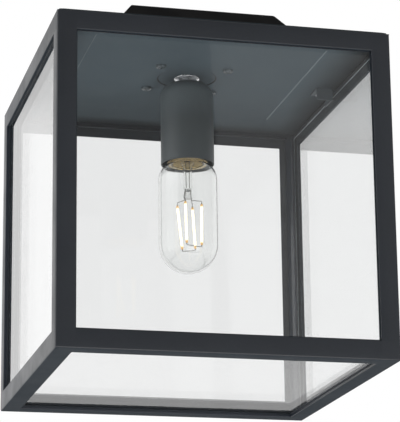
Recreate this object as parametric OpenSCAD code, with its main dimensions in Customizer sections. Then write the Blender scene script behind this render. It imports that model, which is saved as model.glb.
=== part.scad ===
// Square porch ceiling lantern: a canopy and roof plate on the ceiling, a glazed cage that pulls
// down off the roof plate, and a tubular filament lamp in a sleeved lampholder.
// The origin is the centre of the face against the ceiling, +Z is up and the front faces -Y.

/* [Cage frame] */
// Outside width and depth of the square cage
frame_w = 245; // [200:1:320]
// Height of the cage, without the roof plate
cage_h = 242.3; // [215:0.1:320]
// Width of the corner posts and bottom rails, as seen from outside
bar_w = 14; // [12:0.5:20]
// Height of the top rails
top_bar_h = 13.5; // [11:0.5:20]
// Thickness of the frame's legs
leg_t = 2; // [1.5:0.1:4]
// Radius of the frame's outer corners
edge_r = 1.2; // [0.4:0.1:2.5]

/* [Glazing] */
// Thickness of the glass panes
glass_t = 3; // [2:0.5:4]
// Thickness of the glazing seals
seal_t = 0.8; // [0.5:0.1:1.5]
// How far the seals' lips show past the edge of the frame's window
seal_lip = 0.8; // [0.3:0.1:2]
// Space between the side panes' top edges and the roof plate
pane_top_gap = 3.8; // [3:0.1:8]
// Leg of the triangular beads in the inner corners
bead_w = 5; // [3:0.1:6]

/* [Roof plate] */
// Thickness of the roof plate and canopy sheet
sheet_t = 1.2; // [0.8:0.1:2]
// Distance of the roof plate's rim inside the cage's outer faces
rim_inset = 1; // [0.5:0.1:3]
// Depth of the tray below the top rails
pan_drop = 2.3; // [1.5:0.1:6]
// Width of the raised square panel
panel_w = 174; // [164:1:190]
// Height of the raised square panel
panel_rise = 0.8; // [0.4:0.1:1]
// Diameter of the pressed ring round the lampholder
ring_d = 45; // [42:0.5:60]
// Height of the pressed ring
ring_rise = 0.5; // [0.2:0.1:1]
// Spacing of the four roof screws
screw_spacing = 52; // [50:1:64]
// Diameter of the roof screws
screw_d = 3.9; // [3:0.1:5]
// Diameter of the roof screws' heads
screw_head_d = 7.6; // [6:0.1:10]

/* [Canopy] */
// Height from the ceiling to the top of the roof plate's rim
canopy_h = 34.5; // [30:0.5:60]
// Width of the canopy against the ceiling
canopy_top_w = 108.8; // [104:0.1:130]
// Width of the canopy's walls where they meet the roof plate
canopy_base_w = 161; // [140:0.5:162]
// Radius of the canopy's top edges
canopy_edge_r = 4; // [2:0.5:6]
// Width of the foot flange round the canopy's base
canopy_foot_w = 3.5; // [2:0.5:6]
// Thickness of the foam pad against the ceiling
pad_t = 1; // [0.5:0.1:3]
// Distance of each ceiling screw slot from the canopy's side at the ceiling
slot_inset = 15.4; // [14:0.1:18]
// Length of each ceiling screw slot
slot_l = 14; // [8:0.5:16]
// Width of each ceiling screw slot
slot_w = 4.6; // [4:0.1:6]
// Distance of the cable entry from the canopy's front at the ceiling
entry_inset = 24.4; // [19:0.1:26]
// Bore of the cable grommet
cable_d = 8.5; // [6:0.1:11]

/* [Lampholder] */
// Diameter of the lampholder's sleeve
sleeve_d = 40.5; // [39.5:0.5:41]
// Length of the sleeve
sleeve_l = 64.3; // [60:0.1:72]
// Wall of the sleeve
sleeve_t = 1; // [0.8:0.1:2]
// Radius of the sleeve's shoulder
shoulder_r = 10; // [6:0.5:12]
// Diameter of the threaded nipple
nipple_d = 10; // [9:0.5:11]
// Bore of the threaded nipple
nipple_bore = 7.4; // [7:0.1:7.8]
// Diameter of the bright washer under the roof plate
washer_d = 19.5; // [17:0.5:26]
// Height of the insulating cap over the lampholder's terminals
holder_cap_h = 27.6; // [24:0.1:30]
// Depth of the screw shell's bore
shell_depth = 23.5; // [21:0.1:25]
// Inner diameter of the brass screw shell
shell_d = 26.7; // [26.6:0.1:27]

/* [Bulb] */
// Diameter of the tubular glass
bulb_d = 45; // [44:0.5:48]
// Length of the bulb from its contact to its tip
bulb_l = 113.3; // [108:0.1:130]
// Diameter of the bulb's screw cap
bulb_cap_d = 26; // [25.6:0.1:26.1]
// Length of the bulb's cap with its contact
bulb_cap_l = 27; // [25:0.5:28]
// Radius of the glass shoulder below the cap
bulb_shoulder_r = 14; // [12:0.5:25]
// Wall of the bulb's glass
bulb_t = 0.8; // [0.5:0.1:1]
// Distance from the bulb's cap to the end of the glass stem
stem_l = 28.3; // [26:0.1:32]
// Length of each light-emitting stick
stick_l = 31.5; // [26:0.5:33]
// Diameter of each light-emitting stick
stick_d = 1.8; // [1.2:0.1:2.4]

/* [Spring clips] */
// Distance of the clips' web in front of the centre line
clip_web_y = 3; // [1:0.5:6]
// Length of the clips along the rail
clip_l = 17; // [14:0.5:24]
// Height of the clips below the tray
clip_h = 9.5; // [7:0.5:13]
// Reach of the clips inwards from the glass
clip_reach = 13.4; // [9:0.1:16]
// Thickness of the spring steel
clip_t = 1; // [0.6:0.1:1.4]

/* [Wiring] */
// Width of the terminal block
block_w = 30; // [27:1:34]
// Depth of the terminal block
block_d = 16; // [13:1:18]
// Height of the terminal block
block_h = 14; // [12:1:18]
// Distance of the terminal block's front face behind the centre
block_y = 20; // [18:1:22]
// Diameter of the inner leads
lead_d = 2; // [1.6:0.1:2.1]

/* [Clearances] */
// Gap between faces of pieces that move past each other
slide_gap = 0.3; // [0.2:0.05:0.4]
// Gap round threads and screws in their holes
thread_gap = 0.05; // [0.02:0.01:0.1]

/* [Hidden] */
$fn = 64;
// A cut reaches this far past the faces it goes through
over = 1;

// Colours
black = [0.06, 0.06, 0.07];
anthracite = [0.19, 0.21, 0.23];
clear = [0.80, 0.86, 0.86, 0.30];
steel = [0.72, 0.73, 0.75];
brass = [0.78, 0.62, 0.30];
white = [0.92, 0.91, 0.88];

// Heights, from the ceiling down
z_rim_top = -canopy_h;
z_rail_top = z_rim_top - sheet_t;
z_pan_low = z_rail_top - pan_drop;
z_panel_low = z_pan_low + panel_rise;
z_panel_top = z_panel_low + sheet_t;
z_ring_low = z_panel_low + ring_rise;
z_ring_top = z_ring_low + sheet_t;
z_base = z_rail_top - cage_h;

// Frame and glazing, measured from the centre
half_w = frame_w / 2;
leg_in = half_w - leg_t;
window_half = half_w - bar_w;
pane_out = leg_in - seal_t;
pane_in = pane_out - glass_t;
z_floor_pane = z_base + leg_t + seal_t;
z_pane_low = z_floor_pane + glass_t;
z_pane_top = z_pan_low - pane_top_gap;
pane_end_gap = 0.3;
seal_in = window_half - seal_lip;

// Canopy
z_lid_top = -pad_t;
z_lid_low = z_lid_top - sheet_t;
slot_spacing = canopy_top_w - 2 * slot_inset;
entry_y = canopy_top_w / 2 - entry_inset;
canopy_slope = (canopy_base_w - canopy_top_w) / 2 / (z_lid_top - z_panel_top);
pad_inset = 1;
pad_clear = 2;
pillar_d = 8;
pillar_bore_l = 14;
grommet_lip = 2.5;
grommet_neck = 1.5;

// Lampholder, from the roof plate down
nut_h = 4.3;
thin_nut_h = 3;
nut_flats = 14;
washer_t = 1.2;
nipple_above = 1.5;
z_nipple_top = z_ring_top + nut_h + nipple_above;
z_sleeve_top = z_ring_low - washer_t - nut_h;
z_sleeve_low = z_sleeve_top - sleeve_l;
z_holder_top = z_sleeve_top - sleeve_t - thin_nut_h;
z_holder_split = z_holder_top - holder_cap_h;
holder_gap = 0.45;
holder_r = sleeve_d / 2 - sleeve_t - holder_gap;
holder_wall = 2;
holder_roof = 3;
holder_floor = 3;
deck_h = 4;
z_bore_top = z_holder_split - holder_floor;
z_insert_low = z_bore_top - shell_depth;
shell_t = 0.6;
contact_t = 1;
contact_gap = 0.3;
terminal_size = [6, 6, 7];
terminal_x = 0.7;
z_deck = z_holder_split + deck_h;
lead_hole_l = 5;
z_lead_hole = z_deck + terminal_size[2] - lead_hole_l;

// Bulb, from its contact down
z_tip = z_bore_top - contact_t - contact_gap;
z_cap_low = z_tip - bulb_cap_l;
z_bulb_low = z_tip - bulb_l;
bulb_r = bulb_d / 2;
contact_h = 1.4;
insulator_h = 4.2;
cap_bevel = 2.5;
cap_bevel_h = 1;
z_cap_top = z_tip - contact_h - insulator_h;
bulb_cap_t = 0.35;
neck_r = bulb_cap_d / 2 - bulb_cap_t - thread_gap;
neck_in_cap = 6;
shoulder_drop = bulb_r - neck_r;
shoulder_l = sqrt(pow(bulb_shoulder_r, 2) - pow(bulb_shoulder_r - shoulder_drop, 2));
z_shoulder = z_cap_low - shoulder_l;
z_dome = z_bulb_low + bulb_r;
stem_r = 3.3;
stem_t = 0.6;
flare_h = 8;
pinch = [7, 3, 7.5];
z_pinch = z_cap_low - stem_l;
wire_r = 0.25;
stick_drop = 4.8;
z_stick_top = z_pinch - stick_drop;
z_stick_low = z_stick_top - stick_l;
stick_pin_l = 2;
stick_pin_r = 0.4;
// Places of the four sticks' ends round the axis, left, front, back and right
stick_top_xy = [[-7.5, 5], [-5.5, -8.5], [4, 7.5], [8.5, -3]];
stick_low_xy = [[-2.5, 10], [-5, -10], [6.5, 6], [8, -5.5]];

// Wiring
lead_r = lead_d / 2;
lead_x = 2.2;
lead_bend = 8;
pole_pitch = 9;
port_drop = 4;
z_ports = z_lid_low - block_h + port_drop;
port_depth = 5;
port_gap = 0.3;
screw_well = 2;
lead_in_port = 4;
lead_straight = 3;
block_screw_d = 3;
earth_xy = [36, -8];
earth_stud_h = 9;
earth_washer_h = 1;

// Spring clips
clip_glass_gap = 0.5;
clip_out = pane_in - clip_glass_gap;
clip_in = pane_in - clip_reach;
clip_mid = (clip_in + clip_out - clip_t) / 2;
nose_t = 1.2;
nose_lift = 0.8;
rivet_d = 3;
rivet_head_d = 5;
rivet_head_h = 1;

// ---------------------------------------------------------------- shared shapes

// A point at an angle round a centre
function polar(centre, r, a) = [centre[0] + r * cos(a), centre[1] + r * sin(a)];

// An arc of points round a centre, from one angle to another
function arc(centre, r, from, to, steps = 6) =
    [for (i = [0:steps]) polar(centre, r, from + (to - from) * i / steps)];

// A hollow or solid round bar
module tube(r_out, r_in, z_low, z_high) {
    translate([0, 0, z_low]) difference() {
        cylinder(r = r_out, h = z_high - z_low);
        if (r_in > 0)
            translate([0, 0, -over]) cylinder(r = r_in, h = z_high - z_low + 2 * over);
    }
}

// A square plate between two heights
module plate(width, z_low, z_high) {
    translate([-width / 2, -width / 2, z_low]) cube([width, width, z_high - z_low]);
}

// A square ring between two heights
module square_ring(w_out, w_in, z_low, z_high) {
    difference() {
        plate(w_out, z_low, z_high);
        plate(w_in, z_low - over, z_high + over);
    }
}

// A round bar from one point to another
module rod(from, to, r) {
    d = to - from;
    length = norm(d);
    tilt = acos(d[2] / length);
    turn = atan2(d[1], d[0]);
    translate(from) rotate([0, tilt, turn]) cylinder(r = r, h = length, $fn = 24);
}

// A hexagonal nut on the nipple
module nut(z_low, height) {
    translate([0, 0, z_low]) difference() {
        cylinder(d = nut_flats / cos(30), h = height, $fn = 6);
        translate([0, 0, -over])
            cylinder(d = nipple_d + 2 * thread_gap, h = height + 2 * over);
    }
}

// Copies of a front piece on one of the four sides: 0 front, 1 right, 2 back, 3 left
module on_side(side) {
    rotate([0, 0, 90 * side]) children();
}

// Four copies at the corners of a square
module at_corners(spacing) {
    for (x = [-1, 1], y = [-1, 1])
        translate([x * spacing / 2, y * spacing / 2, 0]) children();
}

// ---------------------------------------------------------------- cage

// Outline of an angle bar whose outer corner is at the origin
module angle_outline(leg_a, leg_b) {
    polygon(concat(
        arc([edge_r, edge_r], edge_r, 180, 270),
        [[leg_a, 0], [leg_a, leg_t], [leg_t, leg_t], [leg_t, leg_b], [0, leg_b]]
    ));
}

module corner_post(side) {
    color(anthracite) on_side(side)
        translate([-half_w, -half_w, z_base])
            linear_extrude(cage_h) angle_outline(bar_w, bar_w);
}

module top_rail(side) {
    color(anthracite) on_side(side)
        translate([-window_half, -half_w, z_rail_top - top_bar_h])
            cube([2 * window_half, leg_t, top_bar_h]);
}

module bottom_rail(side) {
    corner = bar_w - leg_t;
    color(anthracite) on_side(side) {
        translate([-window_half, -half_w, z_base])
            rotate([90, 0, 90]) linear_extrude(2 * window_half) angle_outline(bar_w, bar_w);
        // The front and back rails' floors also fill the corners between the posts
        if (side % 2 == 0)
            translate([-leg_in, -leg_in, z_base]) cube([2 * leg_in, corner, leg_t]);
    }
}

// Front and back panes run from side to side, and the side panes stand between them
function pane_half(side) = side % 2 == 0 ? pane_out - pane_end_gap : pane_in - pane_end_gap;

module side_pane(side) {
    half = pane_half(side);
    color(clear) on_side(side)
        translate([-half, -pane_out, z_pane_low])
            cube([2 * half, glass_t, z_pane_top - z_pane_low]);
}

module floor_pane() {
    width = 2 * (pane_out - pane_end_gap);
    color(clear) plate(width, z_floor_pane, z_pane_low);
}

module side_seal(side) {
    half = pane_out - pane_end_gap;
    sill = bar_w + seal_lip;
    lintel = z_rail_top - top_bar_h - seal_lip;
    color(black) on_side(side) difference() {
        translate([-half, -leg_in, z_pane_low]) cube([2 * half, seal_t, z_pane_top - z_pane_low]);
        translate([-seal_in, -leg_in - over, z_base + sill])
            cube([2 * seal_in, seal_t + 2 * over, lintel - z_base - sill]);
    }
}

module floor_seal() {
    color(black)
        square_ring(2 * (pane_out - pane_end_gap), 2 * seal_in, z_base + leg_t, z_floor_pane);
}

module corner_bead(side) {
    color(black) on_side(side)
        translate([-pane_in, -pane_in, z_pane_low])
            linear_extrude(z_pane_top - z_pane_low)
                polygon([[0, 0], [bead_w, 0], [0, bead_w]]);
}

// ---------------------------------------------------------------- roof plate and canopy

module roof_plate() {
    rim_w = frame_w - 2 * rim_inset;
    tray_w = 2 * (leg_in - slide_gap);
    hole_d = screw_d + 4 * thread_gap;
    color(anthracite) difference() {
        union() {
            // Rim on the top rails, wall of the tray, its floor, the raised panel and the ring
            square_ring(rim_w, tray_w - 2 * sheet_t, z_rail_top, z_rim_top);
            square_ring(tray_w, tray_w - 2 * sheet_t, z_pan_low, z_rail_top);
            square_ring(tray_w, panel_w - 2 * sheet_t, z_pan_low, z_pan_low + sheet_t);
            tube(ring_d / 2 + sheet_t, nipple_d / 2 + slide_gap, z_ring_low, z_ring_top);
            difference() {
                plate(panel_w, z_panel_low, z_panel_top);
                translate([0, 0, z_panel_low - over]) cylinder(d = ring_d, h = sheet_t + 2 * over);
            }
        }
        translate([0, 0, z_pan_low - over]) at_corners(screw_spacing)
            cylinder(d = hole_d, h = canopy_h);
        for (side = [-1, 1], y = rivet_ys())
            translate([side * clip_mid, y, z_pan_low - over])
                cylinder(d = rivet_d + 2 * thread_gap, h = sheet_t + 2 * over);
    }
}

// Section of the canopy's outside, from its centre line to the right and back
function canopy_section(inset, z_low, z_high, r) =
    let (
        lean = atan(canopy_slope),
        half_low = canopy_base_w / 2 - inset / cos(lean) - canopy_slope * (z_low - z_panel_top),
        half_high = canopy_base_w / 2 - inset / cos(lean) - canopy_slope * (z_high - z_panel_top),
        back_off = r * tan((90 - lean) / 2),
        centre = [half_high - back_off, z_high - r],
        right = arc(centre, r, lean, 90)
    )
    concat([[half_low, z_low]], right, [for (i = [len(right) - 1:-1:0]) [-right[i][0], right[i][1]]],
        [[-half_low, z_low]]);

// A four-sided hood with the same section from the front and from the side
module hood(inset, z_low, z_high, r) {
    section = canopy_section(inset, z_low, z_high, r);
    span = canopy_base_w + 2 * over;
    intersection() {
        rotate([90, 0, 0]) linear_extrude(span, center = true) polygon(section);
        rotate([90, 0, 90]) linear_extrude(span, center = true) polygon(section);
    }
}

module slot(width, length, height) {
    reach = (length - width) / 2;
    translate([-reach, -width / 2, 0]) cube([2 * reach, width, height]);
    for (x = [-reach, reach])
        translate([x, 0, 0]) cylinder(d = width, h = height);
}

module canopy() {
    foot_w = canopy_base_w + 2 * canopy_foot_w;
    inner_w = canopy_base_w - 2 * sheet_t / cos(atan(canopy_slope));
    entry_d = cable_d + 2 * grommet_neck;
    cut_h = sheet_t + 2 * over;
    color(black) difference() {
        union() {
            difference() {
                hood(0, z_panel_top, z_lid_top, canopy_edge_r);
                hood(sheet_t, z_panel_top - over, z_lid_low, canopy_edge_r - sheet_t);
            }
            square_ring(foot_w, inner_w - sheet_t, z_panel_top, z_panel_top + sheet_t);
        }
        for (x = [-1, 1])
            translate([x * slot_spacing / 2, 0, z_lid_low - over]) slot(slot_w, slot_l, cut_h);
        translate([0, -entry_y, z_lid_low - over]) cylinder(d = entry_d, h = cut_h);
        translate([pole_pitch / 2, block_y + block_d / 2, z_lid_low - over])
            cylinder(d = block_screw_d + 2 * thread_gap, h = cut_h);
    }
}

module ceiling_gasket() {
    width = canopy_top_w - 2 * (canopy_edge_r + pad_inset);
    height = pad_t + 2 * over;
    color(black) difference() {
        plate(width, z_lid_top, 0);
        for (x = [-1, 1])
            translate([x * slot_spacing / 2, 0, z_lid_top - over])
                slot(slot_w + pad_clear, slot_l + pad_clear, height);
        translate([0, -entry_y, z_lid_top - over])
            cylinder(d = cable_d + 2 * (grommet_neck + grommet_lip) + pad_clear, h = height);
    }
}

module cable_grommet() {
    lip_r = cable_d / 2 + grommet_neck + grommet_lip;
    neck_out = cable_d / 2 + grommet_neck - thread_gap;
    // The upper lip stays below the pad's face
    lip_top_h = pad_t * 0.9;
    lip_low_h = grommet_lip;
    color(black) translate([0, -entry_y, 0]) difference() {
        union() {
            tube(lip_r, 0, z_lid_top, z_lid_top + lip_top_h);
            tube(neck_out, 0, z_lid_low, z_lid_top);
            tube(lip_r, 0, z_lid_low - lip_low_h, z_lid_low);
        }
        translate([0, 0, z_lid_low - lip_low_h - over])
            cylinder(d = cable_d, h = sheet_t + lip_top_h + lip_low_h + 2 * over);
    }
}

module roof_pillars() {
    color(steel) at_corners(screw_spacing) difference() {
        tube(pillar_d / 2, 0, z_panel_top, z_lid_low);
        translate([0, 0, z_panel_top - over])
            cylinder(d = screw_d + 2 * thread_gap, h = pillar_bore_l + over);
    }
}

// A pan-head screw whose head's seat is at height 0 and whose shank goes up
module pan_screw(shank_d, shank_l, head_d, head_h) {
    dome_r = (pow(head_d / 2, 2) + head_h * head_h) / 2 / head_h;
    cross_half = head_d * 0.07;
    cross_reach = head_d * 0.3;
    cross_depth = head_h * 0.45;
    cylinder(d = shank_d, h = shank_l);
    difference() {
        intersection() {
            translate([0, 0, dome_r - head_h]) sphere(r = dome_r);
            translate([0, 0, -head_h]) cylinder(d = head_d, h = head_h);
        }
        for (turn = [0, 90])
            rotate([0, 0, turn]) translate([-cross_reach, -cross_half, -head_h - over])
                cube([2 * cross_reach, 2 * cross_half, cross_depth + over]);
    }
}

module roof_screws() {
    shank_l = 12;
    head_h = 2.6;
    color(anthracite) at_corners(screw_spacing)
        translate([0, 0, z_panel_low]) pan_screw(screw_d, shank_l, screw_head_d, head_h);
}

// ---------------------------------------------------------------- spring clips

// Two rivets stand at these shares of the clip's length
function rivet_ys() = [for (share = [0.35, 0.8]) -clip_web_y + clip_l * share];

// The right-hand clip; its nose reaches over the pane's top edge to the rail
module clip() {
    z_nose = z_pane_top + nose_lift;
    nose_end = leg_in - slide_gap - nose_t / 2;
    translate([clip_in, -clip_web_y, 0]) {
        // Foot under the tray, web in front and leaf beside the glass
        translate([0, 0, z_pan_low - clip_t]) cube([clip_out - clip_in, clip_l, clip_t]);
        translate([0, 0, z_pan_low - clip_h]) cube([clip_out - clip_in, clip_t, clip_h]);
        translate([clip_out - clip_in - clip_t, 0, z_pan_low - clip_h])
            cube([clip_t, clip_l, clip_h]);
    }
    translate([clip_out - clip_t, -clip_web_y, z_nose])
        cube([nose_end - clip_out + clip_t, clip_l, nose_t]);
    translate([nose_end, -clip_web_y, z_nose + nose_t / 2])
        rotate([-90, 0, 0]) cylinder(d = nose_t, h = clip_l);
}

module bored_clip() {
    difference() {
        clip();
        for (y = rivet_ys())
            translate([clip_mid, y, z_pan_low - clip_t - over])
                cylinder(d = rivet_d + 2 * thread_gap, h = clip_t + 2 * over);
    }
}

module right_clip() {
    color(anthracite) bored_clip();
}

module left_clip() {
    color(anthracite) mirror([1, 0, 0]) bored_clip();
}

module clip_rivets() {
    grip_low = z_pan_low - clip_t;
    grip_high = z_pan_low + sheet_t;
    color(steel) for (side = [-1, 1], y = rivet_ys())
        translate([side * clip_mid, y, 0]) {
            tube(rivet_head_d / 2, 0, grip_low - rivet_head_h, grip_low);
            tube(rivet_d / 2, 0, grip_low, grip_high);
            tube(rivet_head_d / 2, 0, grip_high, grip_high + rivet_head_h);
        }
}

// ---------------------------------------------------------------- lampholder

module nipple() {
    color(steel)
        tube(nipple_d / 2, nipple_bore / 2, z_holder_top - holder_roof, z_nipple_top);
}

module nipple_nuts() {
    color(steel) {
        nut(z_ring_top, nut_h);
        nut(z_sleeve_top, nut_h);
        nut(z_holder_top, thin_nut_h);
    }
}

module roof_washer() {
    color(steel)
        tube(washer_d / 2, nipple_d / 2 + thread_gap, z_ring_low - washer_t, z_ring_low);
}

module holder_sleeve() {
    r_out = sleeve_d / 2;
    r_in = r_out - sleeve_t;
    lip_r = sleeve_t * 0.6;
    hole_r = nipple_d / 2 + slide_gap;
    inner_shoulder = shoulder_r - sleeve_t;
    color(anthracite) rotate_extrude(angle = 360, $fn = 96) polygon(concat(
        [[hole_r, z_sleeve_top]],
        arc([r_out - shoulder_r, z_sleeve_top - shoulder_r], shoulder_r, 90, 0, 10),
        arc([r_out - lip_r, z_sleeve_low + lip_r], lip_r, 0, -90),
        [[r_in, z_sleeve_low]],
        arc([r_in - inner_shoulder, z_sleeve_top - shoulder_r], inner_shoulder, 0, 90, 10),
        [[hole_r, z_sleeve_top - sleeve_t]]
    ));
}

module holder_cap() {
    // Its upper edge is chamfered to clear the sleeve's shoulder
    bevel = shoulder_r * 0.45;
    bore_r = nipple_d / 2 + thread_gap;
    wall_in = holder_r - holder_wall;
    color(white) rotate_extrude(angle = 360) polygon([
        [bore_r, z_holder_top], [holder_r - bevel, z_holder_top], [holder_r, z_holder_top - bevel],
        [holder_r, z_holder_split], [wall_in, z_holder_split],
        [wall_in, z_holder_top - bevel - holder_roof / 2],
        [wall_in - bevel, z_holder_top - holder_roof], [bore_r, z_holder_top - holder_roof]
    ]);
}

module holder_insert() {
    deck_r = holder_r - holder_wall - thread_gap;
    color(white) difference() {
        union() {
            tube(holder_r, 0, z_insert_low, z_holder_split);
            tube(deck_r, 0, z_holder_split - over, z_deck);
        }
        translate([0, 0, z_insert_low - over])
            cylinder(r = shell_d / 2 + shell_t + thread_gap, h = shell_depth + over);
    }
}

module screw_shell() {
    setback = 1;
    color(brass)
        tube(shell_d / 2 + shell_t, shell_d / 2, z_insert_low + setback, z_bore_top);
}

module centre_contact() {
    contact_r = 4.5;
    color(brass) tube(contact_r, 0, z_bore_top - contact_t, z_bore_top);
}

module holder_terminals() {
    color(brass) for (side = [0, 1]) mirror([side, 0, 0]) difference() {
        translate([terminal_x, -terminal_size[1] / 2, z_deck]) cube(terminal_size);
        translate([lead_x, 0, z_lead_hole])
            cylinder(r = lead_r + thread_gap, h = lead_hole_l + over, $fn = 32);
    }
}

module holder_screws() {
    head_r = 1.8;
    head_h = 1.5;
    z_mid = z_deck + terminal_size[2] / 2;
    color(steel) for (side = [0, 1]) mirror([side, 0, 0])
        translate([terminal_x + terminal_size[0], 0, z_mid])
            rotate([0, 90, 0]) cylinder(r = head_r, h = head_h);
}

// ---------------------------------------------------------------- bulb

module bulb_contact() {
    contact_r = 4.2;
    color(steel) tube(contact_r, 0, z_tip - contact_h, z_tip);
}

module bulb_insulator() {
    r_high = 4.8;
    color(black) translate([0, 0, z_cap_top])
        cylinder(r1 = bulb_cap_d / 2 - cap_bevel, r2 = r_high, h = insulator_h);
}

// The screw cap, as the plain shell that its thread is rolled from
module bulb_cap() {
    z_bevel = z_cap_top - cap_bevel_h;
    r_core = bulb_cap_d / 2 - bulb_cap_t;
    lid_r = bulb_cap_d / 2 - cap_bevel;
    lid_hole_r = lid_r - 1;
    color(steel) {
        tube(bulb_cap_d / 2, r_core, z_cap_low, z_bevel);
        translate([0, 0, z_bevel]) difference() {
            cylinder(r1 = bulb_cap_d / 2, r2 = lid_r, h = cap_bevel_h);
            translate([0, 0, -over]) cylinder(r = lid_hole_r, h = cap_bevel_h + 2 * over);
        }
    }
}

// Outline of the glass: dome, tube, shoulder and neck, drawn in by the wall for its inside.
// The dome's first point is on the axis, and its arc starts beside it.
function bulb_outline(inset, z_end) =
    let (
        neck = neck_r - inset,
        r_side = bulb_r - inset,
        r_arc = bulb_shoulder_r - inset,
        axis = [bulb_r - bulb_shoulder_r, z_shoulder],
        stop = acos((neck - axis[0]) / r_arc)
    )
    concat(
        [[0, z_dome - r_side]], arc([0, z_dome], r_side, -84, 0, 14),
        arc(axis, r_arc, 0, stop, 12), [[neck, z_end], [0, z_end]]
    );

module bulb_envelope() {
    z_end = z_cap_low + neck_in_cap;
    color(clear) difference() {
        rotate_extrude(angle = 360) polygon(bulb_outline(0, z_end));
        rotate_extrude(angle = 360) polygon(bulb_outline(bulb_t, z_end + over));
    }
}

module bulb_stem() {
    flare_r = neck_r - bulb_t - thread_gap;
    z_flare = z_cap_low + neck_in_cap;
    z_throat = z_flare - flare_h;
    z_tube = z_pinch + pinch[2];
    color(clear) {
        rotate_extrude(angle = 360) polygon([
            [flare_r, z_flare], [flare_r - stem_t, z_flare],
            [stem_r - stem_t, z_throat], [stem_r - stem_t, z_tube],
            [stem_r, z_tube], [stem_r, z_throat - stem_t]
        ]);
        translate([-pinch[0] / 2, -pinch[1] / 2, z_pinch]) cube(pinch);
    }
}

function stick_top(i) = [stick_top_xy[i][0], stick_top_xy[i][1], z_stick_top];
function stick_low(i) = [stick_low_xy[i][0], stick_low_xy[i][1], z_stick_low];
function along(a, b, distance) = a + (b - a) * distance / norm(b - a);

module led_filaments() {
    color("lightyellow") for (i = [0:3]) {
        top = stick_top(i);
        low = stick_low(i);
        rod(along(top, low, stick_pin_l), along(low, top, stick_pin_l), stick_d / 2);
        rod(top, low, stick_pin_r);
    }
}

module filament_wires() {
    lead_in_x = 1.5;
    edge_gap = 1;
    foot_x = pinch[0] / 2 - edge_gap;
    z_foot = z_pinch - wire_r;
    z_tube = z_pinch + pinch[2];
    color(steel) {
        // Lead-in wires down the stem
        for (x = [-lead_in_x, lead_in_x])
            rod([x, 0, z_tube], [x, 0, z_cap_low + neck_in_cap], wire_r);
        // Each side of the pinch carries two sticks, and cross wires join them below
        for (i = [0:3]) {
            side = i < 2 ? -1 : 1;
            rod([side * foot_x, 0, z_foot], stick_top(i) + [0, 0, wire_r], wire_r);
        }
        rod(stick_low(0) - [0, 0, wire_r], stick_low(2) - [0, 0, wire_r], wire_r);
        rod(stick_low(1) - [0, 0, wire_r], stick_low(3) - [0, 0, wire_r], wire_r);
    }
}

// ---------------------------------------------------------------- wiring

module terminal_block() {
    z_low = z_lid_low - block_h;
    groove = 1.2;
    port_r = lead_r + port_gap;
    color(white) difference() {
        translate([-block_w / 2, block_y, z_low]) cube([block_w, block_d, block_h]);
        for (pole = [-1:1]) {
            x = pole * pole_pitch;
            translate([x, block_y - over, z_ports])
                rotate([-90, 0, 0]) cylinder(r = port_r, h = port_depth + over, $fn = 32);
            translate([x, block_y + block_d + over, z_ports])
                rotate([90, 0, 0]) cylinder(r = 2 * port_r, h = port_depth + over, $fn = 32);
            for (share = [0.25, 0.75])
                translate([x, block_y + block_d * share, z_low - over])
                    cylinder(d = screw_d + 2 * thread_gap, h = screw_well + over);
        }
        translate([pole_pitch / 2, block_y + block_d / 2, z_low - over])
            cylinder(d = block_screw_d + 2 * thread_gap, h = block_h + 2 * over);
        // Grooves between the poles
        for (x = [-pole_pitch / 2, pole_pitch / 2])
            translate([x - groove / 2, block_y - over, z_low - over])
                cube([groove, block_d + 2 * over, screw_well + over]);
    }
}

module terminal_screws() {
    screw_h = 1.6;
    slot_w = 0.6;
    z_screw = z_lid_low - block_h + screw_well - screw_h;
    color(brass) for (pole = [-1:1], share = [0.25, 0.75])
        translate([pole * pole_pitch, block_y + block_d * share, z_screw]) difference() {
            cylinder(d = screw_d, h = screw_h);
            translate([-screw_d, -slot_w / 2, -over]) cube([2 * screw_d, slot_w, slot_w + over]);
        }
}

// The screw that goes up through the block into the canopy's top
module block_screw() {
    head_d = 5.5;
    head_h = 1.8;
    color(steel) translate([pole_pitch / 2, block_y + block_d / 2, z_lid_low - block_h])
        pan_screw(block_screw_d, block_h + sheet_t, head_d, head_h);
}

module earth_stud() {
    washer_r = 6.5;
    nut_d = 7.6;
    z_nut = z_panel_top + earth_washer_h;
    color(brass) translate([earth_xy[0], earth_xy[1], 0]) {
        tube(screw_d / 2, 0, z_panel_top, z_panel_top + earth_stud_h);
        tube(washer_r, 0, z_panel_top, z_nut);
        translate([0, 0, z_nut]) cylinder(d = nut_d, h = thin_nut_h, $fn = 6);
    }
}

// A lead with a sleeved end in its pole's port, which runs level, bends down and ends at a height
module lead(pole, down_xy, z_end) {
    turn_xy = [pole * pole_pitch, block_y - lead_straight];
    run = down_xy - turn_xy;
    length = norm(run);
    heading = atan2(run[1], run[0]);
    sleeve_r = lead_r + port_gap / 2;
    translate([turn_xy[0], turn_xy[1], z_ports]) {
        translate([0, -lead_r, 0]) rotate([-90, 0, 0])
            cylinder(r = sleeve_r, h = lead_r + lead_straight + lead_in_port, $fn = 32);
        rotate([0, 0, heading]) {
            rotate([0, 90, 0]) cylinder(r = lead_r, h = length - lead_bend, $fn = 32);
            translate([length - lead_bend, 0, -lead_bend]) rotate([90, 0, 0])
                rotate_extrude(angle = 90)
                    translate([lead_bend, 0]) circle(r = lead_r, $fn = 32);
            translate([length, 0, z_end - z_ports])
                cylinder(r = lead_r, h = z_ports - lead_bend - z_end, $fn = 32);
        }
    }
}

module supply_lead(pole, side, tint) {
    end_gap = 1;
    color(tint) lead(pole, [side * lead_x, 0], z_lead_hole + end_gap);
}

// It ends on the stud's washer, beside the nut
module earth_lead() {
    beside_nut = 5;
    down = [earth_xy[0] - beside_nut, earth_xy[1]];
    color("yellowgreen") lead(1, down, z_panel_top + earth_washer_h);
}

// ---------------------------------------------------------------- nodes

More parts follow.
